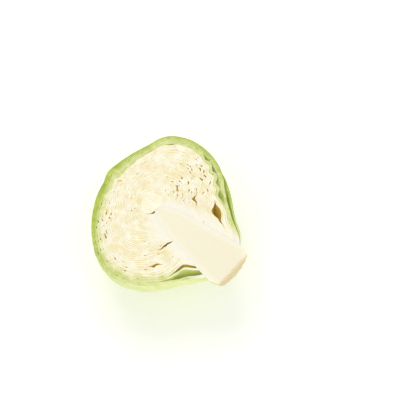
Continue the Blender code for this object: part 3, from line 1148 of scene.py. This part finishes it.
@dataclass
class LeafPiece:
    """One leaf, grown from the core and cut by the knife."""

    stack: LeafStack
    index: int
    rays: int
    rings: int
    crowding: float = 2.2
    ray_limit: float = 87.4
    embedded: float = 1.2 * MM
    narrowest: float = 0.004
    base_steps: int = 90
    hidden: float = 9.0

    def on_ray(self, gamma: Array, run: Array) -> Array:
        """Points of the disc at distances from (1, 0) along rays."""
        return np.column_stack([1.0 - run * np.cos(gamma), run * np.sin(gamma)])

    def base(self, gamma: Array, share: float) -> Array:
        """Where a face of the leaf meets the core.

        Args:
            gamma: The rays' angles.
            share: 0 for the outer face and 1 for the inner face.

        Returns:
            The distance from (1, 0) along each ray.
        """
        shape = self.stack.shape
        count = self.base_steps
        steps = np.linspace(0.004, 1.0, count)
        runs = np.minimum(2.0 * np.cos(gamma), 1.2)[:, None] * steps[None, :]
        spots = self.stack.points(self.index, self.on_ray(np.repeat(gamma, count), runs.ravel()), share)
        clear = np.hypot(spots[:, 1], spots[:, 2] - shape.cut_height) - shape.core_radius(spots[:, 0])
        clear = (clear + self.embedded).reshape(runs.shape)
        blocked = np.where(clear < 0.0, np.arange(count)[None, :], -1).max(axis=1)
        low = np.clip(blocked, 0, count - 2)
        rows = np.arange(len(gamma))
        near, far = clear[rows, low], clear[rows, low + 1]
        part = np.clip(near / np.where(near == far, 1.0, near - far), 0.0, 1.0)
        found = runs[rows, low] + part * (runs[rows, low + 1] - runs[rows, low])
        return np.where(blocked < 0, runs[:, 0], np.where(blocked >= count - 1, self.hidden, found))

    def slab(self) -> bpy.types.Object:
        """A closed slab of one unit from a grid made solid."""
        bpy.ops.object.select_all(action="DESELECT")
        bpy.ops.mesh.primitive_grid_add(x_subdivisions=self.rays, y_subdivisions=self.rings, size=1.0)
        made = bpy.context.object
        solid = made.modifiers.new("thickness", "SOLIDIFY")
        solid.thickness = 1.0
        solid.offset = -1.0
        bpy.ops.object.modifier_apply(modifier=solid.name)
        return made

    def build(self) -> bpy.types.Object:
        """Makes the leaf's mesh."""
        leaf = self.stack.leaves[self.index]
        limit = math.radians(self.ray_limit)
        scan = np.linspace(-limit, limit, 361)
        starts = [self.base(scan, share) for share in (0.0, 1.0)]
        ends = np.minimum(2.0 * np.cos(scan), leaf.run(scan))
        wide = scan[ends - np.maximum(*starts) > self.narrowest]
        made = self.slab()
        made.name = f"{leaf.name}_blade"
        made.data.name = made.name
        grid = read_corners(made)
        inner = grid[:, 2] < -0.5
        gamma = np.clip(2.0 * limit * grid[:, 0], wide.min(), wide.max())
        start = np.where(inner, np.interp(gamma, scan, starts[1]), np.interp(gamma, scan, starts[0]))
        end = np.minimum(2.0 * np.cos(gamma), leaf.run(gamma))
        along = 1.0 - (0.5 - grid[:, 1]) ** self.crowding
        disc = self.on_ray(gamma, start + along * np.maximum(end - start, 0.001))
        relief, shows = self.veining(leaf, disc, inner)
        outer_points = self.stack.points(self.index, disc, 0.0, relief)
        inner_points = self.stack.points(self.index, disc, 1.0)
        points = np.where(inner[:, None], inner_points, outer_points)
        write_corners(made, points)
        write_attribute(made, "through", inner.astype(float))
        write_attribute(made, "vein", shows)
        write_attribute(made, "green", self.stack.greenness(leaf.zone, points))
        write_attribute(made, "calm", self.stack.calm(points))
        write_grain(made, self.stack.grain(self.index, points, inner.astype(float)))
        close_up(made, 0.004 * MM, 38.0)
        return made

    def veining(self, leaf: Leaf, disc: Array, inner: Array) -> tuple[Array, Array]:
        """Relief and colour share of the leaf's ribs.

        Args:
            leaf: The leaf.
            disc: Points of the disc.
            inner: Which points are on the inner face.

        Returns:
            The relief in metres and the share of vein colour.
        """
        if leaf.zone is not Zone.WRAPPER:
            return np.zeros(len(disc)), np.zeros(len(disc))
        height, shows = VeinTree(leaf).read(self.stack.shape, disc)
        covers = [self.stack.coverage(other, disc) for other in self.stack.leaves[: self.index]]
        hidden = np.max(covers, axis=0) if covers else np.full(len(disc), self.stack.uncovered_slot)
        open_share = 1.0 - smooth((hidden - self.stack.uncovered_slot) / 0.12)
        rim = smooth((1.0 - np.hypot(disc[:, 0], disc[:, 1])) / 0.05)
        floor = smooth(np.hypot(disc[:, 0], disc[:, 1]) / 0.30 - 0.35)
        return height * open_share * rim * floor * ~inner, shows


@dataclass
class CorePiece:
    """The stem: a turned cone cut in half, its butt a little rough from the harvest knife."""

    shape: HeadShape
    sides: int = 128
    rings: int = 220
    sunk: float = 0.06 * MM
    butt_roughness: float = 0.35 * MM
    rough_depth: float = 3.0 * MM
    leaf_side_width: float = 9.0 * MM

    def build(self) -> bpy.types.Object:
        """Makes the core's mesh."""
        bpy.ops.object.select_all(action="DESELECT")
        bpy.ops.mesh.primitive_uv_sphere_add(segments=self.sides, ring_count=self.rings, radius=1.0)
        made = bpy.context.object
        made.name = "core_flesh_half"
        made.data.name = made.name
        ball = read_corners(made)
        lean = np.arccos(np.clip(ball[:, 2], -1.0, 1.0)) / math.pi
        turn = np.arctan2(ball[:, 1], ball[:, 0])
        stations = self.shape.core_stations
        along = np.array([station[0] for station in stations]) * MM
        sizes = np.array([station[1] for station in stations]) * MM
        steps = np.concatenate([[0.0], np.cumsum(np.hypot(np.diff(along), np.diff(sizes)))])
        place = lean * steps[-1]
        back = np.interp(place, steps, along)
        radius = np.interp(place, steps, sizes)
        lumps = 0.010 * np.sin(3 * turn + 40 * back) + 0.008 * np.sin(5 * turn - 95 * back + 1.0)
        radius = radius * (1.0 + lumps)
        y = radius * np.where(turn > 0.0, 1.0 - 2.0 * turn / math.pi, np.cos(turn))
        z = radius * np.minimum(np.sin(turn), 0.0)
        butt = smooth(1.0 - (back - along[0]) / self.rough_depth)
        rough = self.butt_roughness * np.sin(y / (2.1 * MM)) * np.sin(z / (1.7 * MM) + 1.0) * butt
        points = np.column_stack([self.shape.butt_x - back + rough, y, z])
        points[:, 2] += self.shape.cut_height - self.sunk
        write_corners(made, points)
        write_attribute(made, "calm", 1.0 - smooth((radius - np.abs(y)) / self.leaf_side_width))
        close_up(made, 0.0005 * MM, 40.0)
        return made


@dataclass
class BudPiece:
    """The heart bud: tiny leaves folded round each other, cut through."""

    stack: LeafStack
    sides: int = 96
    rings: int = 96
    spread: float = 1.75
    sunk: float = 0.01 * MM
    fold_depth: float = 0.08 * MM

    def build(self) -> bpy.types.Object:
        """Makes the bud's mesh."""
        shape = self.stack.shape
        bpy.ops.object.select_all(action="DESELECT")
        bpy.ops.mesh.primitive_uv_sphere_add(segments=self.sides, ring_count=self.rings, radius=1.0)
        made = bpy.context.object
        made.name = "heart_bud_folds"
        made.data.name = made.name
        ball = read_corners(made)
        low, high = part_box("heart_bud")
        middle = Vector(((low.x + high.x) / 2, (low.y + high.y) / 2, shape.cut_height))
        flat = np.hypot(ball[:, 0], ball[:, 1])
        turn = np.arctan2(ball[:, 1], ball[:, 0])
        wobble = 1.0 + 0.07 * np.sin(3 * turn + 0.5) + 0.05 * np.sin(7 * turn)
        points = ball * np.array([high.x - low.x, high.y - low.y, 2 * (high.z - low.z)]) / 2
        points[:, :2] *= (self.spread * wobble)[:, None]
        folds = 0.5 + 0.5 * np.cos(flat * 38.0 + 3.0 * np.sin(turn * 2 + 0.7) + turn)
        groove = self.sunk + self.fold_depth * folds**4 * smooth(flat / 0.2)
        upper = ball[:, 2] > 1e-6
        points[:, 2] = np.where(upper, -groove, points[:, 2])
        points += np.array(middle)
        write_corners(made, points)
        write_attribute(made, "through", np.ones(len(points)))
        write_attribute(made, "vein", np.zeros(len(points)))
        write_attribute(made, "green", np.zeros(len(points)))
        write_attribute(made, "calm", np.full(len(points), 0.3))
        write_grain(made, points / (2.5 * MM))
        close_up(made, 0.005 * MM, 60.0)
        return made


# ---------------------------------------------------------------------------------------------
# The studio
# ---------------------------------------------------------------------------------------------


@dataclass(frozen=True)
class Studio:
    """A white paper floor, soft light from all round, and the camera."""

    heart: tuple[float, float, float]
    azimuth: float = 41.0
    elevation: float = 64.0
    distance: float = 1.144
    lens: float = 100.0
    aim_right: float = 0.0553
    aim_up: float = -0.0026
    floor_side: float = 8.0
    sky_strength: float = 0.78

    def floor(self) -> None:
        """Lays the paper."""
        bpy.ops.object.select_all(action="DESELECT")
        bpy.ops.mesh.primitive_plane_add(size=self.floor_side)
        paper = bpy.context.object
        paper.name = "studio_floor"
        paper.data.materials.append(StudioPaper().build())
        paper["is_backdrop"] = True

    def lamp(self, name: str, place: Vector, size: float, power: float) -> None:
        """Hangs one soft lamp.

        Args:
            name: Its name.
            place: Where it hangs.
            size: The side of its square, in metres.
            power: Its power in watts.
        """
        light = bpy.data.lights.new(name, "AREA")
        light.size = size
        light.energy = power
        lamp = bpy.data.objects.new(name, light)
        lamp.location = place
        lamp.rotation_euler = (Vector(self.heart) - place).to_track_quat("-Z", "Y").to_euler()
        bpy.context.scene.collection.objects.link(lamp)

    def sky(self) -> None:
        """Fills the shadows from all round."""
        world = bpy.data.worlds.new("studio_sky")
        world.use_nodes = True
        background = world.node_tree.nodes["Background"]
        background.inputs["Color"].default_value = (1.0, 1.0, 1.0, 1.0)
        background.inputs["Strength"].default_value = self.sky_strength
        bpy.context.scene.world = world

    def camera(self) -> None:
        """Sets the camera looking down on the cut face."""
        turn, rise = math.radians(self.azimuth), math.radians(self.elevation)
        right = Vector((math.cos(turn), math.sin(turn), 0.0))
        back = Vector((math.sin(turn) * math.cos(rise), -math.cos(turn) * math.cos(rise), math.sin(rise)))
        up = back.cross(right)
        target = Vector(self.heart) + right * self.aim_right + up * self.aim_up
        data = bpy.data.cameras.new("camera")
        data.lens = self.lens
        data.sensor_width = 36.0
        camera = bpy.data.objects.new("camera", data)
        camera.location = target + back * self.distance
        camera.rotation_euler = back.to_track_quat("Z", "Y").to_euler()
        bpy.context.scene.collection.objects.link(camera)
        bpy.context.scene.camera = camera

    def build(self) -> None:
        """Sets up the whole studio."""
        self.floor()
        self.sky()
        self.lamp("key_light", Vector((-0.9, 0.6, 1.8)), 1.2, 11.0)
        self.lamp("fill_light", Vector((0.8, -1.2, 1.2)), 1.6, 4.0)
        self.camera()
        bpy.context.scene.view_settings.view_transform = "Standard"


# ---------------------------------------------------------------------------------------------
# The whole object
# ---------------------------------------------------------------------------------------------


@dataclass
class CabbageHalf:
    """Half a head: leaves, core and heart bud."""

    butt_bulge: float = 0.8 * MM
    grids: dict[Zone, tuple[int, int]] = field(
        default_factory=lambda: {Zone.WRAPPER: (300, 130), Zone.OUTER: (400, 14), Zone.INNER: (300, 12)}
    )
    golden: FleshColours = FleshColours("E2CB62", "C8AC42", "EDE2A0", "FFFAE4", "F7EBBC", "E2CB74")
    leafy: FleshColours = FleshColours("AEC246", "90AA2E", "DCE49A", "E3E694", "C6D35A", "8FAA30")
    pale: FleshColours = FleshColours("E6EAAC", "D6DF88", "F3F5D4", "EFEFB8", "DCE08C", "9FB43C")
    skin: FleshColours = FleshColours("C0CF58", "A3BA3C", "F0F4CC", "BCC936", "9AB222", "6A8A14")

    def build(self) -> None:
        """Makes every piece in order, from the core outwards."""
        core_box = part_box("core")
        cut_height, butt_x = core_box[1].z, core_box[1].x - self.butt_bulge
        shape = HeadShape(cut_height, butt_x)
        stack = LeafStack(shape, LeafPlan().leaves())
        dress(CorePiece(shape).build(), CoreFlesh(butt_x, cut_height).build(), "core")
        finishes = {
            Zone.WRAPPER: LeafFlesh("wrapper_leaf_waxy", self.pale, self.skin, cut_height, plies=3.0),
            Zone.OUTER: LeafFlesh("outer_leaf_fresh", self.golden, self.leafy, cut_height, plies=2.0),
            Zone.INNER: LeafFlesh("inner_leaf_fresh", self.golden, self.leafy, cut_height, plies=2.0),
        }
        finishes = {zone: finish.build() for zone, finish in finishes.items()}
        bud = BudPiece(stack).build()
        dress(bud, finishes[Zone.INNER], "heart_bud")
        for index in reversed(range(len(stack.leaves))):
            leaf = stack.leaves[index]
            rays, rings = self.grids[leaf.zone]
            piece = LeafPiece(stack, index, rays, rings).build()
            dress(piece, finishes[leaf.zone], leaf.name)


def main() -> None:
    """Builds the object and the studio."""
    logging.basicConfig(level=logging.INFO, format="%(message)s")
    solids = [list(corner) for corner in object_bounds()]
    CabbageHalf().build()
    Studio((0.0, 0.0, solids[1][2])).build()


if __name__ == "__main__":
    main()
